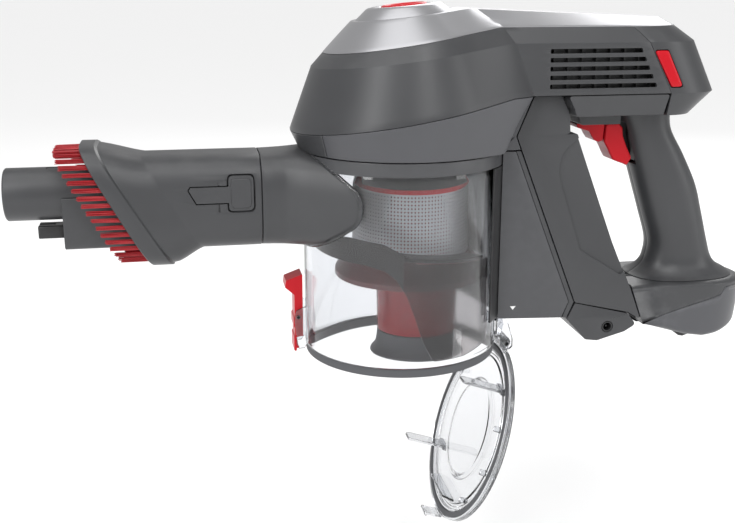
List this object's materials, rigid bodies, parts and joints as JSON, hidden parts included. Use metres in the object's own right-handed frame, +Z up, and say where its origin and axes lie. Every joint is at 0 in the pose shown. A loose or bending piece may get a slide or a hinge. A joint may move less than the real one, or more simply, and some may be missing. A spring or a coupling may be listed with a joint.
{
  "type": "handheld vacuum",
  "caption": "Cordless handheld vacuum with a clear cyclone bin, hinged bin lid, sliding dusting brush on the nozzle, clip-in battery and a D-shaped trigger handle.",
  "frame": {"origin": "middle of the hand grip, on the object's mid-plane", "axes": "+X towards the handle, -X the way the nozzle points, +Z up, -Y the side with the charge socket"},
  "size_m": [0.4519, 0.1318, 0.3306],
  "materials": {
    "dark_plastic": "fine moulded grain",
    "grey_plastic": "satin moulded",
    "black_plastic": "satin moulded",
    "silver_paint": "satin silver paint over plastic",
    "red_plastic": "gloss moulded",
    "clear_plastic": "clear polished",
    "smoke_plastic": "smoked translucent",
    "seal_rubber": "soft matt",
    "steel_mesh": "perforated sheet",
    "bright_steel": "turned",
    "cast_alloy": "pressed",
    "copper_winding": "enamelled wire and laminations",
    "bristle_nylon": "tufted nylon",
    "filter_felt": "felt and pleated paper",
    "circuit_board": "solder resist",
    "cell_sleeve": "heat-shrink sleeve"
  },
  "bodies": {
    "body": {"upper_casing": "dark_plastic", "top_cover": "silver_paint", "mode_ring": "red_plastic", "lower_band": "grey_plastic", "neck_saddle": "dark_plastic", "bin_collar": "grey_plastic", "rear_bridge": "dark_plastic", "spine": "grey_plastic", "spine_liner": "black_plastic", "grip_left": "dark_plastic", "grip_right": "dark_plastic", "grip_screw_1": "bright_steel", "grip_screw_2": "bright_steel", "microswitch": "black_plastic", "handle_base": "dark_plastic", "base_shell": "grey_plastic", "accessory_peg": "black_plastic", "fan_housing": "black_plastic", "motor_can": "bright_steel", "motor_mount": "seal_rubber", "motor_filter": "filter_felt", "control_board": "circuit_board", "inlet_duct": "dark_plastic", "nozzle_tube": "dark_plastic", "connector_housing": "dark_plastic", "contact_prong": "black_plastic"},
    "mode_button": {"mode_button": "black_plastic"},
    "rotor": {"motor_rotor": "copper_winding", "fan_wheel": "cast_alloy"},
    "rear_cap": {"rear_cap": "dark_plastic", "exhaust_filter": "filter_felt"},
    "side_button_left": {"side_button_left": "red_plastic"},
    "side_button_right": {"side_button_right": "red_plastic"},
    "battery": {"battery_case": "dark_plastic", "battery_foot": "dark_plastic", "charge_socket": "black_plastic", "battery_cell_1": "cell_sleeve", "battery_cell_2": "cell_sleeve", "battery_cell_3": "cell_sleeve", "battery_board": "circuit_board"},
    "bin_release": {"bin_release_button": "black_plastic"},
    "trigger": {"trigger": "red_plastic"},
    "trigger_lock": {"trigger_lock": "red_plastic"},
    "brush": {"brush_collar": "dark_plastic", "bristle_ring": "bristle_nylon"},
    "collar_button": {"collar_button": "dark_plastic"},
    "bin": {"dust_bin": "clear_plastic", "bin_seal": "seal_rubber", "hinge_pin": "bright_steel", "latch_pin": "bright_steel", "cyclone_cap": "black_plastic", "cyclone_band": "red_plastic", "mesh_screen": "steel_mesh", "cyclone_skirt": "red_plastic", "cyclone_cone": "red_plastic", "cyclone_foot": "grey_plastic", "inlet_ramp": "smoke_plastic"},
    "lid": {"lid": "clear_plastic", "lid_seal": "seal_rubber"},
    "latch": {"bin_latch": "red_plastic"}
  },
  "joints": [
    {"name": "mode_button_press", "type": "slide", "parent": "body", "child": "mode_button", "axis": [0.0924, 0, -0.9957], "range_m": [0, 0.0015], "stiffness_N_per_m": 500, "springref_m": -0.001},
    {"name": "rotor_spin", "type": "hinge", "parent": "body", "child": "rotor", "pos_m": [-0.171, 0, 0.062], "axis": [0, 0, 1], "continuous": true},
    {"name": "rear_cap_pull", "type": "slide", "parent": "body", "child": "rear_cap", "axis": [1, 0, 0], "range_m": [0, 0.05]},
    {"name": "side_button_left_press", "type": "slide", "parent": "rear_cap", "child": "side_button_left", "axis": [0, 1, 0], "range_m": [0, 0.0015], "stiffness_N_per_m": 500, "springref_m": -0.001},
    {"name": "side_button_right_press", "type": "slide", "parent": "rear_cap", "child": "side_button_right", "axis": [0, -1, 0], "range_m": [0, 0.0015], "stiffness_N_per_m": 500, "springref_m": -0.001},
    {"name": "battery_slide", "type": "slide", "parent": "body", "child": "battery", "axis": [0.3691, 0, -0.9294], "range_m": [0, 0.06]},
    {"name": "bin_release_press", "type": "slide", "parent": "body", "child": "bin_release", "axis": [0, 0, 1], "range_m": [0, 0.002], "stiffness_N_per_m": 500, "springref_m": -0.001},
    {"name": "bin_drop", "type": "slide", "parent": "body", "child": "bin", "axis": [0, 0, -1], "range_m": [0, 0.045]},
    {"name": "lid_hinge", "type": "hinge", "parent": "bin", "child": "lid", "pos_m": [-0.106, 0, -0.087], "axis": [0, 1, 0], "range_deg": [0, 71]},
    {"name": "latch_press", "type": "hinge", "parent": "bin", "child": "latch", "pos_m": [-0.2352, 0, -0.064], "axis": [0, 1, 0], "range_deg": [0, 4], "stiffness_Nm_per_rad": 0.3, "springref_deg": -2.86},
    {"name": "trigger_pull", "type": "hinge", "parent": "body", "child": "trigger", "pos_m": [-0.0395, 0, 0.043], "axis": [0, -1, 0], "range_deg": [0, 6], "stiffness_Nm_per_rad": 0.3, "springref_deg": -2.86},
    {"name": "trigger_lock_slide", "type": "slide", "parent": "body", "child": "trigger_lock", "axis": [-1, 0, 0], "range_m": [0, 0.003]},
    {"name": "brush_slide", "type": "slide", "parent": "body", "child": "brush", "axis": [-1, 0, 0], "range_m": [0, 0.05]},
    {"name": "collar_button_press", "type": "slide", "parent": "brush", "child": "collar_button", "axis": [0, 1, 0], "range_m": [0, 0.0015], "stiffness_N_per_m": 500, "springref_m": -0.001}
  ]
}
